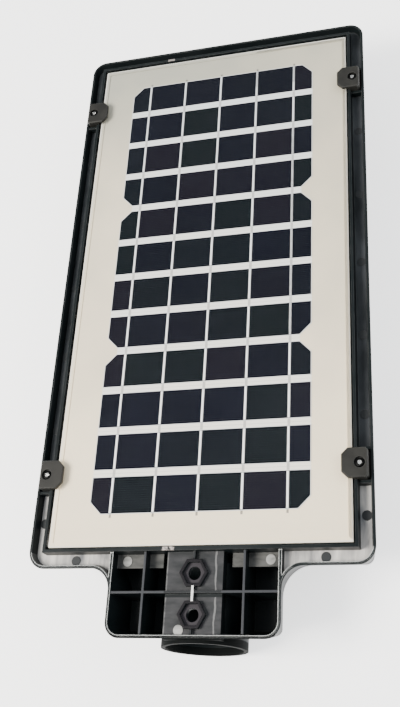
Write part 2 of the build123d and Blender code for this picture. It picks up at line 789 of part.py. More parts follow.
save("battery_cradle", battery_cradle())
pad_half_x = column_x + cell_length / 2
save("battery_pad", box(-pad_half_x, pad_half_x, battery_y - cradle_half_y + 3, battery_y + cradle_half_y - 3,
                        battery_z + cell_radius, deck_under_z))
battery_plug_x = 34.0
battery_plug_y = battery_y - cradle_half_y - plug_length
battery_plug_z = battery_z - 6.0
battery_plug = box(
    battery_plug_x - plug_half,
    battery_plug_x + plug_half,
    battery_plug_y,
    battery_plug_y + plug_length,
    battery_plug_z - plug_half / 2,
    battery_plug_z + plug_half / 2,
)
save("battery_plug", battery_plug)
ear_z = battery_z - ear_thickness
save("battery_screws", Compound(children=[screw(x, y, ear_z, 9.0, up=False) for x, y in cradle_spots]))

# ---------------------------------------------------------------- control board
pcb = 1.6


def control_board():
    """Charge controller's circuit board."""
    half_x = control_width / 2
    half_y = control_length / 2
    board = plate(-half_x, half_x, control_y - half_y, control_y + half_y, control_z - pcb, control_z, 2.0)
    for x, y in control_spots:
        board -= post(x, y, control_z - 3, control_z + 1, screw_radius + clearance)
    return board


coil_spot = (-22.0, 10.0)  # from the middle of the board
coil_radius = 7.0
coil_height = 7.0
can_spots = ((2.0, 12.0), (13.0, 12.0))
can_radius = 4.0
can_height = 11.0
switch_spots = ((-26.8, -11.0), (-14.8, -11.0), (-2.8, -11.0), (9.2, -11.0))
switch_size = (6.5, 6.0, 2.3)
chip_spot = (29.0, 1.0)
chip_size = (10.0, 10.0, 1.6)


def soldered(spot, size):
    """A flat part under the board; spot is its middle, from the middle of the board."""
    x, y = spot[0], control_y + spot[1]
    z = control_z - pcb
    return box(x - size[0] / 2, x + size[0] / 2, y - size[1] / 2, y + size[1] / 2, z - size[2], z)


def control_components():
    """Coil, capacitors, switching transistors and chip on the board's lower face."""
    z = control_z - pcb
    coil_x, coil_y = coil_spot[0], control_y + coil_spot[1]
    coil = post(coil_x, coil_y, z - coil_height, z, coil_radius)
    coil -= post(coil_x, coil_y, z - coil_height - 1, z - coil_height + 1, coil_radius * 0.43)
    solids = [coil]
    for x, y in can_spots:
        solids.append(post(x, control_y + y, z - can_height, z, can_radius))
    for spot in switch_spots:
        solids.append(soldered(spot, switch_size))
    solids.append(soldered(chip_spot, chip_size))
    return Compound(children=solids)


save("control_board", control_board())
save("control_components", control_components())
control_screws = [screw(x, y, control_z - pcb, 7.0, up=False) for x, y in control_spots]
save("control_screws", Compound(children=control_screws))

socket_height = 6.0
board_far_y = control_y + control_length / 2
board_near_y = control_y - control_length / 2
far_sockets = {"panel": 0.0, "battery": 26.0}
near_sockets = {"left": -26.0, "sensor": 0.0, "right": 26.0}


def wire_sockets():
    """Connectors under the control board where the leads plug in."""
    z = control_z - pcb
    low = z - socket_height
    half = plug_half
    solids = []
    for x in far_sockets.values():
        solids.append(box(x - half, x + half, board_far_y - plug_length, board_far_y, low, z))
    for x in near_sockets.values():
        solids.append(box(x - half, x + half, board_near_y, board_near_y + plug_length, low, z))
    return Compound(children=solids)


save("wire_sockets", wire_sockets())

# ---------------------------------------------------------------- sensor head
def dome():
    """Milky half dome over the motion sensor, held by a flange behind the cover."""
    z = cover_floor_z
    ball = Pos(0, head_y, z) * Sphere(dome_radius)
    core = Pos(0, head_y, z) * Sphere(dome_radius - dome_wall)
    under = box(-2 * dome_radius, 2 * dome_radius, head_y - 2 * dome_radius, head_y + 2 * dome_radius,
                z - 2 * dome_radius, z)
    shape = (ball & under) + post(0, head_y, z, z + dome_flange, dome_radius + 4.0)
    return shape - (core & under) - post(0, head_y, z, z + dome_flange, dome_radius - dome_wall)


save("sensor_dome", dome())


def head_board():
    """Small board over the sensor port, the button and the window."""
    board = plate(window_x - 10.0, button_x + 12.0, head_y - 16.0, head_y + 16.0, head_board_z,
                  head_board_z + pcb, 3.0)
    for x, y in head_screw_spots:
        board -= post(x, y, head_board_z - 1, head_board_z + 3, screw_radius + clearance)
    return board


save("sensor_board", head_board())
head_board_top = head_board_z + pcb
sensor_screws = [screw(x, y, head_board_top, 8.0) for x, y in head_screw_spots]
save("sensor_screws", Compound(children=sensor_screws))
head_plug_y = head_y + 8.0
head_plug_far = head_plug_y + plug_length
head_plug_top = head_board_top + socket_height
save("sensor_plug", box(-plug_half, plug_half, head_plug_y, head_plug_far, head_board_top, head_plug_top))


sensor_height = 4.2
sensor_radius = 4.1


def sensor():
    """Round metal-canned motion sensor with its square window."""
    z = head_board_z
    can = post(0, head_y, z - sensor_height, z, sensor_radius)
    can += post(0, head_y, z - 0.6, z, sensor_radius + 0.5)
    pane_low = z - sensor_height - 0.2
    return can - box(-1.9, 1.9, head_y - 1.4, head_y + 1.4, pane_low, pane_low + 0.5)


save("motion_sensor", sensor())
window = post(window_x, head_y, underside_z, cover_floor_z, window_radius)
window += post(window_x, head_y, cover_floor_z, cover_floor_z + 1.5, window_radius + 2.0)
save("receiver_window", window)
receiver = box(window_x - 3.0, window_x + 3.0, head_y - 2.5, head_y + 2.5, head_board_z - 5.0, head_board_z)
save("remote_receiver", receiver)

# ---------------------------------------------------------------- push-button
sleeve_top_z = underside_z + sleeve_height
button_face_z = underside_z - button_proud
button_floor_z = button_face_z + 2.5
flange_z = sleeve_top_z + 0.1
switch_z = head_board_z - switch_height
plunger_z = switch_z - button_travel - 0.15
plunger_radius = 1.7
stem_radius = 2.0


def power_button():
    """Cup-shaped button with a retaining flange, a dished face and a stem for the switch."""
    cap = post(button_x, head_y, button_face_z, flange_z + 0.5, button_radius)
    cap = fillet(cap.edges().group_by(Axis.Z)[0], 1.2)
    cap += post(button_x, head_y, flange_z, flange_z + 1.2, button_radius + button_flange)
    cap -= post(button_x, head_y, button_floor_z, flange_z + 2, button_radius - 1.4)
    cap += post(button_x, head_y, button_floor_z - 0.5, plunger_z, stem_radius)
    dish = 9.0  # radius of the dished face
    return cap - Pos(button_x, head_y, button_face_z - dish + 0.8) * Sphere(dish)


save("power_button", power_button())
plunger_top_z = switch_z + 0.7


def switch_plunger():
    """The switch's plunger, which stands on the button's stem."""
    return post(button_x, head_y, plunger_z, plunger_top_z, plunger_radius)


save("switch_plunger", switch_plunger())


def switch_body():
    """Square switch under the sensor board, bored for its plunger."""
    half = 5.0
    body = box(button_x - half, button_x + half, head_y - half, head_y + half, switch_z, head_board_z)
    bore_top = plunger_top_z + button_travel + 0.2
    return body - post(button_x, head_y, switch_z - 1, bore_top, plunger_radius + 0.06)


save("switch_body", switch_body())

spring_radius = 3.9
spring_wire = 0.35
spring_turns = 5


def button_spring():
    """Return spring round the stem, between the button's cup and the switch."""
    height = switch_z - button_floor_z - 2 * spring_wire
    path = Helix(pitch=height / spring_turns, height=height, radius=spring_radius)
    section = Plane(origin=path @ 0, z_dir=path % 0) * Circle(spring_wire)
    coil = sweep(section, path=path)
    return Pos(button_x, head_y, button_floor_z + spring_wire) * coil


save("button_spring", button_spring())

# ---------------------------------------------------------------- leads
wire_z = control_z - pcb - socket_height / 2
light_wire_z = board_z + board_thickness + light_plug_height / 2


def leads(route, shifts):
    """Leads side by side along one route."""
    wires = [cable([(x + shift, y, z) for x, y, z in route], lead_radius) for shift in shifts]
    return Compound(children=wires)


pair = (-lead_gap / 2, lead_gap / 2)
trio = (-3.0, 0.0, 3.0)
box_exit_y = well_y - jbox_length / 2
panel_route = (
    (0.0, box_exit_y + jbox_wall, jbox_wire_z),
    (0.0, box_exit_y - 5.0, jbox_wire_z),
    (0.0, board_far_y + 5.5, wire_z),
    (0.0, board_far_y, wire_z),
)
save("panel_leads", leads(panel_route, pair))
battery_route = (
    (battery_plug_x, battery_plug_y, battery_plug_z),
    (battery_plug_x, battery_plug_y - 16.0, battery_plug_z),
    (battery_plug_x + 3.0, battery_plug_y - 36.0, battery_plug_z + 5.0),
    (battery_plug_x - 3.0, board_far_y + 33.0, battery_plug_z + 3.0),
    (far_sockets["battery"], board_far_y + 11.0, wire_z),
    (far_sockets["battery"], board_far_y, wire_z),
)
save("battery_leads", leads(battery_route, pair))
for side, word in ((-1, "left"), (1, "right")):
    light_route = (
        (near_sockets[word], board_near_y, wire_z),
        (near_sockets[word], board_near_y - 12.0, wire_z),
        (side * 36.0, light_plug_y - 16.0, wire_z - 10.0),
        (side * bay_pitch / 2, light_plug_y - 12.0, light_wire_z),
        (side * bay_pitch / 2, light_plug_y, light_wire_z),
    )
    save("light_leads_" + word, leads(light_route, pair))
sensor_wire_z = head_board_top + socket_height / 2
sensor_route = (
    (0.0, head_plug_far, sensor_wire_z),
    (0.0, head_plug_y + 18.0, sensor_wire_z),
    (-1.5, board_near_y - 22.0, wire_z - 3.0),
    (0.0, board_near_y - 10.0, wire_z),
    (0.0, board_near_y, wire_z),
)
save("sensor_leads", leads(sensor_route, trio))

for name, shape in parts.items():
    export_step(shape, "parts/" + name + ".step")
print(len(parts), "sub-parts")
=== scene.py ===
import math

import bmesh
import bpy
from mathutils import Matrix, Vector


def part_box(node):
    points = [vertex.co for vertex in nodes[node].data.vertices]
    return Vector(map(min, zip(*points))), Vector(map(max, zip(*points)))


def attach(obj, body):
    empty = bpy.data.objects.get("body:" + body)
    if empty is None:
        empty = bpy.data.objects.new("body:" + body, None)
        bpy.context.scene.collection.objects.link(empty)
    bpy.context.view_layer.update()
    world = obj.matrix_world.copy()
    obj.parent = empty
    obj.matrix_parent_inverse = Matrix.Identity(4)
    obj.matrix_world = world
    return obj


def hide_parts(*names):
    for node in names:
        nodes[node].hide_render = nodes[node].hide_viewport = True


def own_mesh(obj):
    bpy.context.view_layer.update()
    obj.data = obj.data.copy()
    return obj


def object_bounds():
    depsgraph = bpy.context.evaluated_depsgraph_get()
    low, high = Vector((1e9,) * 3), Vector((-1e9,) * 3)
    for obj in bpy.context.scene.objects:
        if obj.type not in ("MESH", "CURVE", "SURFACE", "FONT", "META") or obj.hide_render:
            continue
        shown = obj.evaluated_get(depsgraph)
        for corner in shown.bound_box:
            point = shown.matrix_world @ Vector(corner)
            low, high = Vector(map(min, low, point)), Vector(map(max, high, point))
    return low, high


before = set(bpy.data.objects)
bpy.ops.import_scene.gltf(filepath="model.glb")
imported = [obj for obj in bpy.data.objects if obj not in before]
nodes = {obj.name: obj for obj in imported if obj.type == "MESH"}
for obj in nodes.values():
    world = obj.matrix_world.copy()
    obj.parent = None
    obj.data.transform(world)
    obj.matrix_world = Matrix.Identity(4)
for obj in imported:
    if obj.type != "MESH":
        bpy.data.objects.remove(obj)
cad_low, cad_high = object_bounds()

# ---------------------------------------------------------------- stand, light and camera
# The lamp lies on a plain pale table with its panel up, under three soft boxes and an even sky.
# The finish words below are the ones that every piece's material is then written in.


class Wire:
    """One value, colour or vector inside a finish. Arithmetic on values adds Math nodes."""

    def __init__(self, finish, socket):
        self.finish = finish
        self.socket = socket

    def maths(self, how, *terms, clamp=False):
        node = self.finish.tree.nodes.new("ShaderNodeMath")
        node.operation = how
        node.use_clamp = clamp
        for slot, term in zip(node.inputs, terms):
            self.finish.feed(slot, term)
        return Wire(self.finish, node.outputs[0])

    def __add__(self, other):
        return self.maths("ADD", self, other)

    __radd__ = __add__

    def __sub__(self, other):
        return self.maths("SUBTRACT", self, other)

    def __rsub__(self, other):
        return self.maths("SUBTRACT", other, self)

    def __mul__(self, other):
        return self.maths("MULTIPLY", self, other)

    __rmul__ = __mul__

    def __truediv__(self, other):
        return self.maths("DIVIDE", self, other)

    def __abs__(self):
        return self.maths("ABSOLUTE", self)

    def __mod__(self, other):
        return self.maths("FLOORED_MODULO", self, other)

    def __gt__(self, other):
        return self.maths("GREATER_THAN", self, other)

    def __lt__(self, other):
        return self.maths("LESS_THAN", self, other)

    def least(self, other):
        return self.maths("MINIMUM", self, other)

    def most(self, other):
        return self.maths("MAXIMUM", self, other)

    def root(self):
        return self.maths("SQRT", self)

    def whole(self):
        return self.maths("FLOOR", self)

    def ramp(self, low, high):
        """0 at low, 1 at high, straight between them and level beyond."""
        return self.maths("MULTIPLY", self - low, 1.0 / (high - low), clamp=True)


class Finish:
    """A material in the making, with one principled surface."""

    def __init__(self, name, **surface):
        self.material = bpy.data.materials.new(name)
        self.material.use_nodes = True
        self.tree = self.material.node_tree
        self.tree.nodes.clear()
        self.skin = self.tree.nodes.new("ShaderNodeBsdfPrincipled")
        out = self.tree.nodes.new("ShaderNodeOutputMaterial")
        self.tree.links.new(self.skin.outputs[0], out.inputs["Surface"])
        self.set(**surface)

    def feed(self, slot, value):
        if isinstance(value, Wire):
            self.tree.links.new(value.socket, slot)
        elif isinstance(value, tuple) and len(value) == 3 and slot.type == "RGBA":
            slot.default_value = (*value, 1.0)
        else:
            slot.default_value = value

    def feed_named(self, node, sockets):
        named = {}
        for slot in node.inputs:
            named.setdefault(slot.name.lower().replace(" ", "_"), slot)
        for key, value in sockets.items():
            self.feed(named[key], value)

    def add(self, kind, settings=None, out=0, **sockets):
        """Adds a node: its settings first, then its sockets. Gives back one of its outputs."""
        node = self.tree.nodes.new(kind)
        for key, value in (settings or {}).items():
            setattr(node, key, value)
        self.feed_named(node, sockets)
        return Wire(self, node.outputs[out])

    def set(self, **surface):
        self.feed_named(self.skin, surface)

    def axes(self):
        """Where the surface is on the lamp, in millimetres: across, along and up."""
        place = self.add("ShaderNodeTexCoord", out="Object")
        node = self.tree.nodes.new("ShaderNodeSeparateXYZ")
        self.feed(node.inputs[0], place)
        return [Wire(self, node.outputs[i]) * 1000.0 for i in range(3)]

    def facing(self):
        """The way the surface faces, as three values."""
        node = self.tree.nodes.new("ShaderNodeSeparateXYZ")
        self.feed(node.inputs[0], self.add("ShaderNodeNewGeometry", out="Normal"))
        return [Wire(self, node.outputs[i]) for i in range(3)]

    def noise(self, scale, detail=3.0, stretch=None):
        """Cloudy noise; scale is in clouds to the metre."""
        where = self.add("ShaderNodeTexCoord", out="Object")
        if stretch:
            where = self.add("ShaderNodeMapping", vector=where, scale=stretch)
        return self.add("ShaderNodeTexNoise", vector=where, scale=scale, detail=detail)

    def pebbles(self, scale, feature="F1"):
        """Distance from the middle, or from the edge, of each cell of a cellular pattern."""
        where = self.add("ShaderNodeTexCoord", out="Object")
        settings = {"feature": feature}
        return self.add("ShaderNodeTexVoronoi", settings, out="Distance", vector=where, scale=scale)

    def tint(self, share, low, high):
        """A colour between two, by share."""
        node = self.tree.nodes.new("ShaderNodeMix")
        node.data_type = "RGBA"
        self.feed(node.inputs["Factor"], share)
        self.feed(node.inputs[6], low)
        self.feed(node.inputs[7], high)
        return Wire(self, node.outputs[2])

    def bump(self, height, depth, over=None, strength=1.0):
        """A bump whose height of 1 is depth metres, on top of another normal."""
        sockets = {"height": height, "distance": depth, "strength": strength}
        if over:
            sockets["normal"] = over
        return self.add("ShaderNodeBump", **sockets)

    def eased(self, radius):
        """The surface's normal, turned as if its edges had this radius."""
        return self.add("ShaderNodeBevel", {"samples": 4}, radius=radius)

    def edges(self, radius):
        """Near 1 on an edge and 0 on a flat."""
        node = self.tree.nodes.new("ShaderNodeVectorMath")
        node.operation = "DOT_PRODUCT"
        self.feed(node.inputs[0], self.eased(radius))
        self.feed(node.inputs[1], self.add("ShaderNodeNewGeometry", out="Normal"))
        return (1.0 - Wire(self, node.outputs["Value"])).ramp(0.01, 0.22)


def dress(finish, *names):
    """Gives a finish to nodes of the frame."""
    for name in names:
        nodes[name].data.materials.clear()
        nodes[name].data.materials.append(finish.material)


def shaped(name, work, finish):
    """A new object from a bmesh."""
    mesh = bpy.data.meshes.new(name)
    work.to_mesh(mesh)
    work.free()
    mesh.materials.append(finish.material)
    piece = bpy.data.objects.new(name, mesh)
    bpy.context.scene.collection.objects.link(piece)
    return piece


table_half = 6.0
table_z = cad_low[2] - 0.0005

table_finish = Finish("pale_table", roughness=0.75, specular_ior_level=0.2)
table_finish.set(
    base_color=table_finish.tint(table_finish.noise(3.0), (0.93, 0.93, 0.925), (0.96, 0.96, 0.955)),
    emission_color=(1.0, 1.0, 1.0),
    emission_strength=1.6,
)
work = bmesh.new()
for x, y in ((-1, -1), (1, -1), (1, 1), (-1, 1)):
    work.verts.new((x * table_half, y * table_half, table_z))
work.faces.new(work.verts)
table = shaped("table", work, table_finish)

sky = bpy.data.worlds.new("sky")
bpy.context.scene.world = sky
sky.use_nodes = True
glow = sky.node_tree.nodes["Background"]
glow.inputs["Color"].default_value = (0.93, 0.96, 1.0, 1.0)
glow.inputs["Strength"].default_value = 0.95

# name, place, size, power and colour of each soft box; all of them face the lamp's middle
lamp_middle = Vector((0.0, 0.24, 0.0))
for name, place, size, power, colour in (
    ("key", (-1.1, -0.3, 1.6), 0.9, 82.0, (1.0, 0.955, 0.89)),
    ("fill", (1.5, 0.4, 1.2), 1.2, 14.0, (0.94, 0.97, 1.0)),
    ("back", (0.7, 2.1, 0.5), 0.8, 8.0, (1.0, 1.0, 1.0)),
):
    light = bpy.data.lights.new(name, "AREA")
    light.size = size
    light.energy = power
    light.color = colour
    box = bpy.data.objects.new(name, light)
    box.location = place
    box.rotation_euler = (lamp_middle - box.location).to_track_quat("-Z", "Y").to_euler()
    bpy.context.scene.collection.objects.link(box)

camera = bpy.data.cameras.new("camera")
camera.lens = 53.5
camera.shift_x = -0.024
camera.shift_y = -0.2
camera.clip_start = 0.05
view_point = bpy.data.objects.new("camera", camera)
view_point.location = (0.2288, -0.0969, 0.7063)
view_point.rotation_euler = (math.radians(30.95), math.radians(16.94), math.radians(2.91))
bpy.context.scene.collection.objects.link(view_point)
bpy.context.scene.camera = view_point


# ---------------------------------------------------------------- housing
# Upper housing and lower cover, injection moulded in black ABS and screwed together. The faces have
# a fine spark-eroded grain and round marks from the ejector pins. Up on top the weather has bleached
# the gutter's lower end, and tools and bolts have scraped the mount. Light is painted in as well:
# highlights on the rib tops and on the rim round the mount, a reflection on the shoulders beside it,
# and shade in the socket's mouth.
def corners(name):
    """The lowest and highest corners of a node, in millimetres."""
    return [[1000.0 * value for value in corner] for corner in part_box(name)]


case_top_z = 35.0
rim_top_z = 33.0
rib_top_z = 32.4
pad_face_z = 29.5
gutter_face_z = 26.5
shelf_face_z = 24.0
mark_rise = 0.3
mount_end_y = 57.0
mount_half_x = 59.5
pad_half_x = 19.6
rib_gap = 2.0
bolts_middle_y = 29.7
bolt_gap = 26.0
hex_reach = 10.4
hex_wall = 1.0
nut_half_x = 7.4
nut_half_y = 6.8
socket_mouth_y = corners("upper_housing")[0][1]
case_far_y = corners("upper_housing")[1][1]
bleached_y = 96.0
near_nick_x = -18.0
far_nick_x = -46.0

shell = Finish("moulded_black_shell", specular_ior_level=0.12)
across, along, up = shell.axes()
facing = shell.facing()


def level(z, within):
    """Upward faces at one height."""
    return (abs(up - z) < within) * (facing[2] > 0.9)


near_end = along < mount_end_y
on_mount = near_end * (abs(across) < mount_half_x)
from_rib = abs(along - bolts_middle_y)
pad = level(pad_face_z, 0.15) * on_mount * (abs(across) < pad_half_x) * (from_rib > rib_gap)
shelf = level(shelf_face_z, 0.2) * on_mount
# Painted highlights: rib tops on the mount are painted lighter, most on the thin ribs and on the middle rib
# between the bolts.
rib_tops = level(rib_top_z, 0.15) * on_mount
thin_rib_highlights = rib_tops * (abs(across) > pad_half_x)
middle_rib_highlight = rib_tops * (abs(across) < 0.8) * (from_rib < 4.8)
hex_row = abs(from_rib - bolt_gap / 2)
in_hex = (hex_row < hex_reach - hex_wall) * (abs(across) < hex_reach) * on_mount
nut_seats = in_hex * level(pad_face_z, 0.15) * (hex_row < nut_half_y) * (abs(across) < nut_half_x)
mount_marks = level(shelf_face_z + mark_rise, 0.09).most(level(pad_face_z + mark_rise, 0.1)) * on_mount
gutter = level(gutter_face_z, 0.1)
gutter_marks = level(gutter_face_z + mark_rise, 0.1)
# Painted reflection: the sloping walls beside the mount are painted pale as if catching the light, mottled
# by the smear noise.
shoulder_reflection = near_end * (abs(across) > mount_half_x) * (abs(facing[2]) < 0.6) * up.ramp(8.0, 28.0)
# Painted shade: the socket's mouth and the tube round it are painted near black, made rougher and kept free
# of edge wear.
shaded_mouth = along < socket_mouth_y + 5.0

cloud = shell.noise(26.0, 4.0)
fine = shell.noise(420.0, 2.0)
smears = shell.noise(70.0, 5.0, (1.0, 0.35, 1.0))
film = smears.ramp(0.35, 0.7)
scratches = shell.noise(190.0, 5.0, (1.0, 0.22, 1.0)).ramp(0.38, 0.62)
scrapes = shell.noise(150.0, 6.0, (0.6, 1.6, 1.0)).ramp(0.35, 0.68)
wear = shell.edges(0.0007) * shell.noise(140.0, 3.0).ramp(0.3, 0.6) * (up > 20.0)
pad_edges = pad * (abs(across - 19.0 + smears * 9.0) < 0.5).most((across < -18.6) * scrapes)
# Painted highlight: a thin pale line along the rim's edge round the mount.
rim_highlight = level(rim_top_z, 0.12) * near_end * shell.edges(0.0012).ramp(0.15, 0.5)
near_nick = (abs(across - near_nick_x) < 4.5) * (along < 60.0) * shell.noise(600.0, 2.0).ramp(0.4, 0.55)
far_nick = (abs(across - far_nick_x) < 3.0) * (along > case_far_y - 22.0) * cloud
nicks = level(case_top_z, 0.15) * near_nick.most(far_nick)

plain_black = shell.tint(cloud.ramp(0.3, 0.7), (0.0035, 0.0060, 0.0065), (0.010, 0.013, 0.014))
damp_dust = shell.tint(film, (0.014, 0.017, 0.019), (0.060, 0.066, 0.072))
bleached = shell.tint(film * 0.6 + scratches * 0.4, (0.16, 0.165, 0.175), (0.80, 0.77, 0.72))
tone = shell.tint(gutter, plain_black, damp_dust)
tone = shell.tint(gutter * along.ramp(bleached_y + 18.0, bleached_y) * 0.95, tone, bleached)
for share, colour in (
    (gutter_marks, (0.035, 0.038, 0.04)),
    # painted reflection on the shoulders beside the mount
    (shoulder_reflection * (0.3 + film * 0.7) * 0.35, (0.20, 0.195, 0.185)),
    (pad * (0.35 + 0.55 * scrapes), (0.050, 0.050, 0.053)),
    (pad_edges * 0.6, (0.20, 0.20, 0.20)),
    (shelf * (0.4 + 0.6 * scrapes), (0.105, 0.105, 0.10)),
    # painted highlights on the rib tops, then stronger on the thin ribs
    (rib_tops * 0.35, (0.03, 0.03, 0.034)),
    (thin_rib_highlights * 0.6, (0.050, 0.053, 0.060)),
    (mount_marks * (0.45 + 0.55 * scrapes), (0.42, 0.42, 0.405)),
    (wear * (1.0 - shaded_mouth) * 0.4, (0.18, 0.18, 0.175)),
    # painted shade in the socket's mouth
    (shaded_mouth, (0.002, 0.003, 0.003)),
    # painted highlight along the rim round the mount
    (rim_highlight * smears.ramp(0.25, 0.45), (0.78, 0.80, 0.78)),
    # inside the hexes the rib tops are set back to near black, without the painted highlight
    (in_hex * rib_tops, (0.0045, 0.004, 0.006)),
    (nut_seats, (0.034, 0.031, 0.036)),
    # painted highlight along the middle rib
    (middle_rib_highlight, (0.80, 0.80, 0.78)),
    (nicks * 0.8, (0.50, 0.45, 0.42)),
):
    tone = shell.tint(share, tone, colour)
shell.set(
    base_color=tone,
    roughness=0.36 + (cloud - 0.5) * 0.2 + fine * 0.10 + (gutter + pad) * 0.12 + shaded_mouth * 0.4,
    normal=shell.bump(shell.noise(3200.0, 2.0), 0.00004, shell.eased(0.0007), 0.5),
)
dress(shell, "upper_housing", "lower_cover")

# ---------------------------------------------------------------- panel clips
# Four moulded tongues hold the panel down at its long edges. They are dull dark grey, each with a
# pan-head screw sunk in a round well. The well's floor is painted near black as shade, and each
# screw head has a painted highlight in its middle with painted shade round it.
clip_top_z = corners("panel_clip_near_left")[1][2]
well_depth = 0.4

clips = Finish("clip_dull_grey", specular_ior_level=0.25)
across, along, up = clips.axes()
facing = clips.facing()
cloud = clips.noise(90.0, 4.0)
tone = clips.tint(cloud.ramp(0.3, 0.7), (0.009, 0.0088, 0.0075), (0.018, 0.0175, 0.015))
# Painted shade: the floor of each screw's well is painted near black.
well_shade = (up < clip_top_z - well_depth) * (facing[2] > 0.9)
tone = clips.tint(well_shade, tone, (0.002, 0.002, 0.002))
tone = clips.tint(clips.edges(0.0006) * 0.5, tone, (0.12, 0.12, 0.115))
clips.set(
    base_color=tone,
    roughness=0.5 + (cloud - 0.5) * 0.3,
    normal=clips.bump(clips.noise(2600.0, 2.0), 0.00005, clips.eased(0.0006), 0.6),
)
dress(clips, "panel_clip_far_left", "panel_clip_far_right", "panel_clip_near_left", "panel_clip_near_right")


def metal(name, low, high, roughness, grain=900.0, stretch=None):
    """Plated or bare metal with fine tool marks and some dull patches."""
    finish = Finish(name, metallic=1.0)
    patch = finish.noise(260.0, 4.0)
    lines = finish.noise(grain, 2.0, stretch)
    finish.set(
        base_color=finish.tint((patch * 0.7 + lines * 0.3).ramp(0.35, 0.65), low, high),
        roughness=roughness + (patch - 0.5) * 0.3 + (lines - 0.5) * 0.12,
        normal=finish.bump(lines, 0.00003, finish.eased(0.0002), 0.5),
    )
    return finish


screws_low, screws_high = corners("clip_screws")
screws_middle_y = (screws_low[1] + screws_high[1]) / 2
screw_head_radius = 2.9
lit_radius = 1.35

# The sunk screw heads are painted: near black round the edge as shade in the well, and bright in the middle
# as a highlight.
sunk = Finish("sunk_screw_steel", metallic=1.0)
across, along, up = sunk.axes()
aside = abs(across) - (screws_high[0] - screw_head_radius)
ahead = abs(along - screws_middle_y) - (screws_high[1] - screw_head_radius - screws_middle_y)
from_middle = (aside * aside + ahead * ahead).root()
patch = sunk.noise(700.0, 3.0)
# painted highlight in the middle of each head
centre = (from_middle < lit_radius) * (0.55 + patch * 0.45)
sunk.set(
    base_color=sunk.tint(centre, (0.012, 0.012, 0.012), (0.85, 0.85, 0.83)),
    roughness=0.25 + patch * 0.2,
    normal=sunk.bump(patch, 0.00003, sunk.eased(0.0002), 0.5),
)
dress(sunk, "clip_screws")
dress(metal("zinc_screw_steel", (0.30, 0.30, 0.29), (0.66, 0.66, 0.64), 0.25),
      "cover_screws", "board_screws", "battery_screws", "control_screws", "sensor_screws")

# ---------------------------------------------------------------- panel backsheet
# White polyester sheet under the cells, laminated to them with clear film that shows as a bead round
# its edge. It is cream at its lower end and darker and greyer towards its upper end, and it is whiter
# between the cells. Solder stubs mark where the ribbons start and stop.
(_, array_near_y, _), (array_half_x, array_far_y, _) = corners("solar_cells")
(_, panel_near_y, _), (panel_half_x, panel_far_y, _) = corners("panel_backsheet")
wafer = 156.75
wafer_chamfer = 8.5
strips = 12
strips_per_group = 4
strips_per_wafer = 6
ribbon_columns = 5
strip_height = wafer / strips_per_wafer
strip_pitch = (array_far_y - array_near_y - strip_height) / (strips - 1)
group_pitch = strips_per_group * strip_pitch
group_height = (strips_per_group - 1) * strip_pitch + strip_height
ribbon_pitch = wafer / ribbon_columns
ribbon_half = 0.8
stub_length = 2.4
tucked = 1.0


def from_ribbon(across):
    """How far a place is to the right of the nearest ribbon, in millimetres."""
    return (across + ribbon_pitch / 2) % ribbon_pitch - ribbon_pitch / 2


backing = Finish("laminate_backsheet", specular_ior_level=0.3)
across, along, up = backing.axes()
cloud = backing.noise(14.0, 3.0)
speck = backing.noise(900.0, 2.0)
toward_far_end = (along * 0.001 + (cloud - 0.5) * 0.25).ramp(0.12, 0.5)
tone = backing.tint(toward_far_end, (0.93, 0.80, 0.58), (0.38, 0.375, 0.31))
down_strips = (array_far_y - along) % strip_pitch
group_gap = ((array_far_y - along) % group_pitch) > group_height - tucked
gap_reach = array_half_x - group_gap * wafer_chamfer
in_gap = (down_strips > strip_height - tucked) * (abs(across) < gap_reach)
in_gap = in_gap * (along < array_far_y) * (along > array_near_y)
beside_ribbon = abs(from_ribbon(across))
seam = in_gap * (abs(down_strips - (strip_height + strip_pitch) / 2) < 0.3)
crossing = in_gap * (beside_ribbon < ribbon_half + 0.2)
tone = backing.tint(in_gap, tone, backing.tint(toward_far_end, (0.88, 0.84, 0.74), (0.66, 0.73, 0.76)))
tone = backing.tint(seam * 0.4, tone, (0.5, 0.5, 0.48))
tone = backing.tint(crossing * 0.75, tone, (0.33, 0.32, 0.31))
tone = backing.tint(speck.ramp(0.62, 0.75) * 0.25, tone, (0.45, 0.43, 0.38))
past_ends = (array_near_y - along).most(along - array_far_y)
stubs = (past_ends > 0.0) * (past_ends < stub_length)
stubs = stubs * (beside_ribbon < ribbon_half) * (abs(across) < array_half_x)
tone = backing.tint(stubs * 0.8, tone, (0.12, 0.115, 0.11))
border = (panel_half_x - abs(across)).least(along - panel_near_y).least(panel_far_y - along)
tone = backing.tint((border < 0.9) * 0.6, tone, (0.86, 0.85, 0.8))
backing.set(
    base_color=tone,
    roughness=0.5 + (cloud - 0.5) * 0.2,
    normal=backing.bump(backing.noise(500.0, 3.0), 0.00005, strength=0.4),
)
dress(backing, "panel_backsheet", "panel_edge_tape")

# ---------------------------------------------------------------- solar cells
# Twelve strips, each a sixth of a wafer of single-crystal silicon under a blue-black coating. Fine
# silver finger lines run across them, and their bare edges show as a thin bright line.
finger_pitch = 1.55
finger_half = 0.09
bare_edge = 0.45

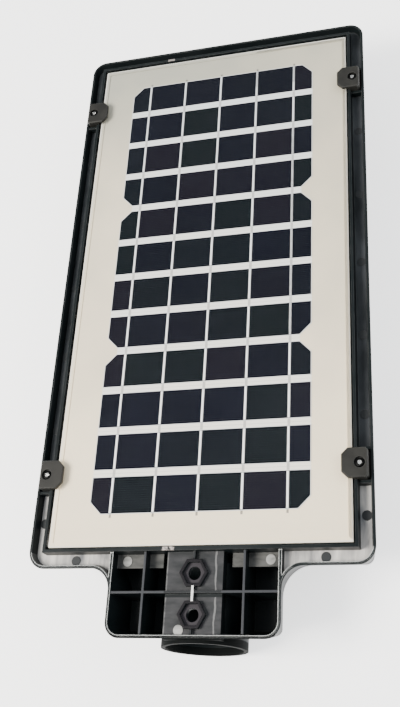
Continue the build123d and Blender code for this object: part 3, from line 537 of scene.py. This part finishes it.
silicon = Finish("coated_silicon", specular_ior_level=0.04)
across, along, up = silicon.axes()
down_strips = (array_far_y - along) % strip_pitch
down_group = (array_far_y - along) % group_pitch
to_side = array_half_x - abs(across)
to_top = (to_side + down_group - wafer_chamfer) * math.sqrt(0.5)
to_bottom = (to_side + (group_height - down_group) - wafer_chamfer) * math.sqrt(0.5)
to_edge = to_side.least(down_strips).least(strip_height - down_strips).least(to_top).least(to_bottom)
edge_line = to_edge < bare_edge
fingers = (abs(down_strips % finger_pitch - finger_pitch / 2) < finger_half) * (to_edge > 1.0)
broad = silicon.noise(9.0, 4.0)
local = silicon.noise(45.0, 5.0, (1.0, 2.6, 1.0))
block = silicon.add(
    "ShaderNodeCombineXYZ",
    x=(across / ribbon_pitch).whole(),
    y=((array_far_y - along) / strip_pitch).whole(),
)
shade = silicon.add("ShaderNodeTexWhiteNoise", out="Value", vector=block)
tone = silicon.tint(broad.ramp(0.35, 0.65), (0.0012, 0.0020, 0.0052), (0.0028, 0.0034, 0.0088))
tone = silicon.tint(shade.ramp(0.62, 0.8) * 0.8, tone, (0.0022, 0.0048, 0.0055))
tone = silicon.tint(shade.ramp(0.3, 0.15) * 0.7, tone, (0.0052, 0.0038, 0.0080))
tone = silicon.tint(local.ramp(0.5, 0.75) * 0.3, tone, (0.006, 0.008, 0.012))
tone = silicon.tint(fingers * 0.25, tone, (0.14, 0.15, 0.16))
tone = silicon.tint(edge_line * 0.9, tone, (0.75, 0.76, 0.76))
silicon.set(
    base_color=tone,
    roughness=0.3 + (local - 0.5) * 0.2 + edge_line * 0.3,
    normal=silicon.bump(silicon.noise(700.0, 2.0), 0.00001, strength=0.5),
)
dress(silicon, "solar_cells")

# ---------------------------------------------------------------- cell ribbons
# Flat copper ribbons, dipped in solder and soldered to each strip's face. They are bright, greyer
# towards the far end, with a dull line where the solder has run off one side.
ribbon = Finish("tinned_ribbon", specular_ior_level=0.6)
across, along, up = ribbon.axes()
patch = ribbon.noise(600.0, 3.0, (1.0, 0.25, 1.0))
side_line = from_ribbon(across) > 0.55
tone = ribbon.tint(patch.ramp(0.35, 0.65), (0.86, 0.86, 0.84), (0.97, 0.97, 0.95))
tone = ribbon.tint(along.ramp(150.0, 450.0) * 0.6, tone, (0.40, 0.45, 0.49))
ribbon.set(
    base_color=ribbon.tint(side_line * 0.7, tone, (0.12, 0.12, 0.13)),
    roughness=0.35 + (patch - 0.5) * 0.4,
    normal=ribbon.bump(patch, 0.00003, strength=0.5),
)
dress(ribbon, "cell_ribbons")

# ---------------------------------------------------------------- panel glass
# Rolled low-iron glass with a faint orange-peel face that spreads reflections, which grow towards
# grazing angles on its outer face. Dust lies on it in a thin film, in old drops and along its lower
# edge.
glass = Finish("rolled_panel_glass", specular_ior_level=0.8, ior=1.5)
across, along, up = glass.axes()
film = glass.noise(7.0, 5.0)
drops = glass.pebbles(210.0)
outside = 1.0 - glass.add("ShaderNodeNewGeometry", out="Backfacing")
sheen = (glass.add("ShaderNodeFresnel", ior=1.5) - 0.045).most(0.0)
sheen = sheen * outside * (glass.facing()[2] > 0.5)
lower_edge = along.ramp(panel_near_y + 14.0, panel_near_y)
dust = film.ramp(0.4, 0.8) * 0.006 + lower_edge * 0.04 + drops.ramp(0.12, 0.05) * 0.012
glass.set(
    base_color=glass.tint(dust.ramp(0.0, 0.03), (0.10, 0.11, 0.12), (0.85, 0.84, 0.80)),
    alpha=0.004 + dust + sheen * 0.8,
    roughness=0.12 + film * 0.12,
    normal=glass.bump(glass.noise(180.0, 2.0), 0.00003, glass.eased(0.0006), 0.3),
)
dress(glass, "panel_glass")

# ---------------------------------------------------------------- foam and seals
# Closed-cell foam under the panel, flat rubber gaskets under the lens covers and a round cord seal
# between the two shells.
rubber = Finish("black_seal_rubber", specular_ior_level=0.3)
cloud = rubber.noise(120.0, 4.0)
bloom = rubber.noise(36.0, 3.0)
rubber.set(
    base_color=rubber.tint(bloom.ramp(0.4, 0.8) * 0.6, (0.018, 0.018, 0.018), (0.06, 0.06, 0.058)),
    roughness=0.72 + (cloud - 0.5) * 0.3,
    normal=rubber.bump(rubber.pebbles(2400.0), 0.00015, strength=0.5),
)
dress(rubber, "panel_gasket", "battery_pad", "cover_seal", "lens_gasket_left", "lens_gasket_right")


# ---------------------------------------------------------------- junction box
# Small glass-filled box glued under the panel, where the cell ribbons meet the two panel leads.
def plastic(name, low, high, roughness, edge):
    """Plain moulded plastic with a cloudy tone, a fine grain and paler edges."""
    finish = Finish(name, specular_ior_level=0.4)
    cloud = finish.noise(110.0, 4.0)
    tone = finish.tint(cloud.ramp(0.3, 0.7), low, high)
    finish.set(
        base_color=finish.tint(finish.edges(0.0004) * 0.6, tone, edge),
        roughness=roughness + (cloud - 0.5) * 0.25,
        normal=finish.bump(finish.noise(1800.0, 2.0), 0.00003, finish.eased(0.0004), 0.5),
    )
    return finish


dress(plastic("filled_black_nylon", (0.018, 0.018, 0.019), (0.03, 0.03, 0.031), 0.55, (0.12, 0.12, 0.12)),
      "junction_box", "junction_box_lid")

# ---------------------------------------------------------------- light bays
# A clear polycarbonate cover with two rows of square lens bumps closes each bay. Behind it, a
# white-faced aluminium board carries the chips: a pale case with a yellow phosphor face.
clear = Finish("clear_lens_cover", specular_ior_level=0.9, ior=1.58)
haze = clear.noise(30.0, 4.0)
scuff = clear.noise(900.0, 3.0, (1.0, 0.15, 1.0))
slope = (1.0 - abs(clear.facing()[2])).ramp(0.03, 0.35)
flat_tone = clear.tint(haze, (0.42, 0.46, 0.49), (0.62, 0.65, 0.66))
clear.set(
    base_color=clear.tint(slope, flat_tone, (0.16, 0.18, 0.20)),
    alpha=0.07 + haze.ramp(0.45, 0.8) * 0.06 + (slope * 0.35).most(clear.edges(0.0012) * 0.35),
    roughness=0.08 + scuff.ramp(0.5, 0.8) * 0.25,
    normal=clear.bump(haze, 0.0002, clear.eased(0.0012), 0.3),
)
dress(clear, "lens_cover_left", "lens_cover_right")

mask_white = Finish("white_solder_mask", specular_ior_level=0.5)
cloud = mask_white.noise(60.0, 4.0)
tracks = abs(mask_white.noise(75.0, 1.0) - 0.5).ramp(0.02, 0.012)
mask_white.set(
    base_color=mask_white.tint(tracks * 0.25, (0.80, 0.80, 0.77), (0.62, 0.63, 0.62)),
    roughness=0.35 + (cloud - 0.5) * 0.2,
    normal=mask_white.bump(tracks, 0.00003, mask_white.eased(0.0003), 0.6),
)
dress(mask_white, "light_board_left", "light_board_right")

chip_case = plastic("chip_case_white", (0.74, 0.73, 0.70), (0.82, 0.81, 0.78), 0.4, (0.9, 0.9, 0.88))
dress(chip_case, "light_chips_left", "light_chips_right")

phosphor = Finish("chip_phosphor", specular_ior_level=0.5)
grain = phosphor.noise(5200.0, 2.0)
phosphor.set(
    base_color=phosphor.tint(grain.ramp(0.3, 0.7), (0.80, 0.50, 0.02), (0.90, 0.62, 0.05)),
    roughness=0.3 + grain * 0.2,
    normal=phosphor.bump(grain, 0.00004, strength=0.6),
)


def islands(name):
    """The low and high corners of each separate solid in a node."""
    work = bmesh.new()
    work.from_mesh(nodes[name].data)
    bmesh.ops.remove_doubles(work, verts=work.verts, dist=1e-6)
    left = set(work.verts)
    found = []
    while left:
        stack = [left.pop()]
        group = list(stack)
        while stack:
            for edge in stack.pop().link_edges:
                for vert in edge.verts:
                    if vert in left:
                        left.remove(vert)
                        stack.append(vert)
                        group.append(vert)
        low = Vector([min(v.co[i] for v in group) for i in range(3)])
        high = Vector([max(v.co[i] for v in group) for i in range(3)])
        found.append((low, high))
    work.free()
    return sorted(found, key=lambda pair: tuple(pair[0]))


def disc(work, centre, radius, bulge):
    """A shallow domed button that hangs from a face."""
    sides = 16
    rings = []
    for share, rise in ((1.0, 0.0), (0.86, 0.7), (0.5, 0.93)):
        rings.append([
            work.verts.new((
                centre[0] + radius * share * math.cos(2 * math.pi * k / sides),
                centre[1] + radius * share * math.sin(2 * math.pi * k / sides),
                centre[2] - bulge * rise,
            ))
            for k in range(sides)
        ])
    tip = work.verts.new((centre[0], centre[1], centre[2] - bulge))
    for low_ring, high_ring in zip(rings, rings[1:]):
        for k in range(sides):
            after = (k + 1) % sides
            work.faces.new((high_ring[k], high_ring[after], low_ring[after], low_ring[k]))
    for k in range(sides):
        work.faces.new((tip, rings[-1][(k + 1) % sides], rings[-1][k]))
    work.faces.new(rings[0])


chip_face_radius = 0.00115
chip_face_bulge = 0.00025
for word in ("left", "right"):
    work = bmesh.new()
    for low, high in islands("light_chips_" + word):
        middle = (low + high) / 2
        disc(work, (middle.x, middle.y, low.z), chip_face_radius, chip_face_bulge)
    faces = shaped("chip_faces_" + word, work, phosphor)
    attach(faces, "lamp")

dress(plastic("natural_nylon_plug", (0.66, 0.64, 0.57), (0.76, 0.74, 0.68), 0.45, (0.85, 0.84, 0.8)),
      "light_plugs", "battery_plug", "sensor_plug", "wire_sockets", "switch_plunger")

# ---------------------------------------------------------------- battery
# Six round cells in blue shrink film lie in a moulded cradle on a foam pad. Nickel strips are
# spot-welded across their ends.
wrap = Finish("blue_shrink_film", specular_ior_level=0.55)
cloud = wrap.noise(50.0, 3.0)
creases = wrap.noise(300.0, 3.0, (0.2, 1.0, 1.0))
wrap.set(
    base_color=wrap.tint(cloud, (0.02, 0.10, 0.28), (0.03, 0.16, 0.40)),
    roughness=0.25 + creases.ramp(0.4, 0.8) * 0.25,
    normal=wrap.bump(creases, 0.0001, wrap.eased(0.0006), 0.4),
)
dress(wrap, "battery_cells")
dress(metal("nickel_strip", (0.50, 0.48, 0.43), (0.68, 0.66, 0.60), 0.3, 1400.0, (0.2, 1.0, 1.0)),
      "battery_strips")
dress(plastic("cradle_plastic", (0.03, 0.03, 0.033), (0.055, 0.055, 0.058), 0.5, (0.14, 0.14, 0.14)),
      "battery_cradle")

# ---------------------------------------------------------------- boards
# Glass-epoxy boards under green solder mask. The parts on the control board and the click switch and
# receiver on the sensor board have moulded black cases.
laminate = Finish("green_solder_mask", specular_ior_level=0.55)
weave = laminate.noise(1500.0, 1.0)
broad = laminate.noise(90.0, 2.0)
tracks = abs(laminate.noise(120.0, 1.0) - 0.5).ramp(0.03, 0.02)
mask_green = laminate.tint(broad, (0.006, 0.055, 0.022), (0.010, 0.085, 0.035))
laminate.set(
    base_color=laminate.tint(tracks, mask_green, (0.022, 0.16, 0.07)),
    roughness=0.3 + weave * 0.15,
    normal=laminate.bump(tracks + weave * 0.15, 0.00004, laminate.eased(0.0003), 0.6),
)
dress(laminate, "control_board", "sensor_board")
dress(plastic("moulded_part_case", (0.016, 0.016, 0.017), (0.03, 0.03, 0.032), 0.42, (0.1, 0.1, 0.1)),
      "control_components", "remote_receiver", "switch_body")

# ---------------------------------------------------------------- sensor head
# A milky polyethylene dome, moulded inside in small lens facets, covers the motion sensor's nickel
# can. Beside it is the dark red window of the remote receiver.
dome = Finish("milky_sensor_dome", specular_ior_level=0.45)
dome.set(subsurface_weight=0.25, subsurface_radius=(0.004, 0.004, 0.0035))
facets = dome.pebbles(330.0, "DISTANCE_TO_EDGE")
cloud = dome.noise(200.0, 3.0)
dome.set(
    base_color=dome.tint(facets.ramp(0.09, 0.0) * 0.5, (0.83, 0.83, 0.80), (0.66, 0.66, 0.64)),
    roughness=0.34 + (cloud - 0.5) * 0.2,
    normal=dome.bump(facets.ramp(0.0, 0.12), 0.00025, strength=0.7),
)
dress(dome, "sensor_dome")
dress(metal("nickel_can", (0.50, 0.49, 0.46), (0.70, 0.69, 0.66), 0.25), "motion_sensor")

window = Finish("dark_red_window", specular_ior_level=0.7)
cloud = window.noise(160.0, 3.0)
window.set(
    base_color=window.tint(cloud, (0.020, 0.004, 0.006), (0.045, 0.008, 0.010)),
    roughness=0.12 + cloud * 0.12,
    normal=window.bump(cloud, 0.00005, window.eased(0.0005), 0.4),
)
dress(window, "receiver_window")

# ---------------------------------------------------------------- push-button
# A soft-touch moulded button that slides in the cover's sleeve against a steel coil spring and
# presses the click switch behind it.
touch = Finish("soft_touch_button", specular_ior_level=0.3)
cloud = touch.noise(220.0, 4.0)
tone = touch.tint(cloud, (0.045, 0.047, 0.05), (0.075, 0.077, 0.08))
touch.set(
    base_color=touch.tint(touch.edges(0.0006), tone, (0.16, 0.16, 0.16)),
    roughness=0.6 + (cloud - 0.5) * 0.25,
    normal=touch.bump(touch.noise(2600.0, 2.0), 0.00005, touch.eased(0.0007), 0.6),
)
dress(touch, "power_button")

# ---------------------------------------------------------------- button spring
# Return spring of hard steel wire, wound with a closed turn at each end. It is caught between the
# button's cup and the switch; the real spring shortens by the button's travel when that is pressed,
# but this one is built at a single length and does not move.
spring_low, spring_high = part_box("button_spring")
spring_middle = (spring_low + spring_high) / 2
spring_wire = 0.00035
spring_radius = (spring_high.x - spring_low.x) / 2 - spring_wire
spring_height = spring_high.z - spring_low.z
spring_turns = 5
closed_rise = 2.1 * spring_wire
open_rise = (spring_height - 2 * spring_wire - 2 * closed_rise) / (spring_turns - 2)
turn_steps = 24
wire_sides = 8

work = bmesh.new()
rings = []
for step in range(spring_turns * turn_steps + 1):
    turn = step / turn_steps
    closed_turns = min(turn, 1) + max(turn - (spring_turns - 1), 0)
    z = spring_low.z + spring_wire + closed_rise * closed_turns + open_rise * (turn - closed_turns)
    angle = 2 * math.pi * turn
    rings.append([])
    for side in range(wire_sides):
        round_wire = 2 * math.pi * side / wire_sides
        radius = spring_radius + spring_wire * math.cos(round_wire)
        rings[-1].append(work.verts.new((
            spring_middle.x + radius * math.cos(angle),
            spring_middle.y + radius * math.sin(angle),
            z + spring_wire * math.sin(round_wire),
        )))
for ring, next_ring in zip(rings, rings[1:]):
    for side in range(wire_sides):
        after = (side + 1) % wire_sides
        work.faces.new((ring[side], next_ring[side], next_ring[after], ring[after]))
work.faces.new(rings[0])
work.faces.new(rings[-1][::-1])
bmesh.ops.recalc_face_normals(work, faces=work.faces)
for face in work.faces:
    face.smooth = len(face.verts) == 4
spring_steel = metal("spring_steel", (0.40, 0.40, 0.39), (0.58, 0.58, 0.56), 0.3)
coil = shaped("return_spring", work, spring_steel)
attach(coil, "lamp")
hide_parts("button_spring")
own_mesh(coil)


# ---------------------------------------------------------------- leads
# Stranded copper in flexible covers: red and black from the panel and the battery, red and white to
# the lights, and yellow and red to the sensor board.
def cover(name, node, left, right):
    """Lead covers of two colours, one for the leads to the left of their node's middle."""
    finish = Finish(name, specular_ior_level=0.4)
    cloud = finish.noise(260.0, 3.0)
    middle = (corners(node)[0][0] + corners(node)[1][0]) / 2
    across, along, up = finish.axes()
    tone = finish.tint(across > middle, left, right)
    tone = finish.tint(cloud * 0.3, tone, (0.02, 0.02, 0.02))
    finish.set(
        base_color=tone,
        roughness=0.42 + (cloud - 0.5) * 0.2,
        normal=finish.bump(finish.noise(1200.0, 2.0), 0.00003, strength=0.5),
    )
    dress(finish, node)


red, black, white, yellow = (0.34, 0.02, 0.018), (0.02, 0.02, 0.021), (0.7, 0.69, 0.66), (0.6, 0.42, 0.03)
cover("panel_lead_covers", "panel_leads", red, black)
cover("battery_lead_covers", "battery_leads", black, red)
cover("light_lead_covers_left", "light_leads_left", red, white)
cover("light_lead_covers_right", "light_leads_right", white, red)
cover("sensor_lead_covers", "sensor_leads", yellow, red)
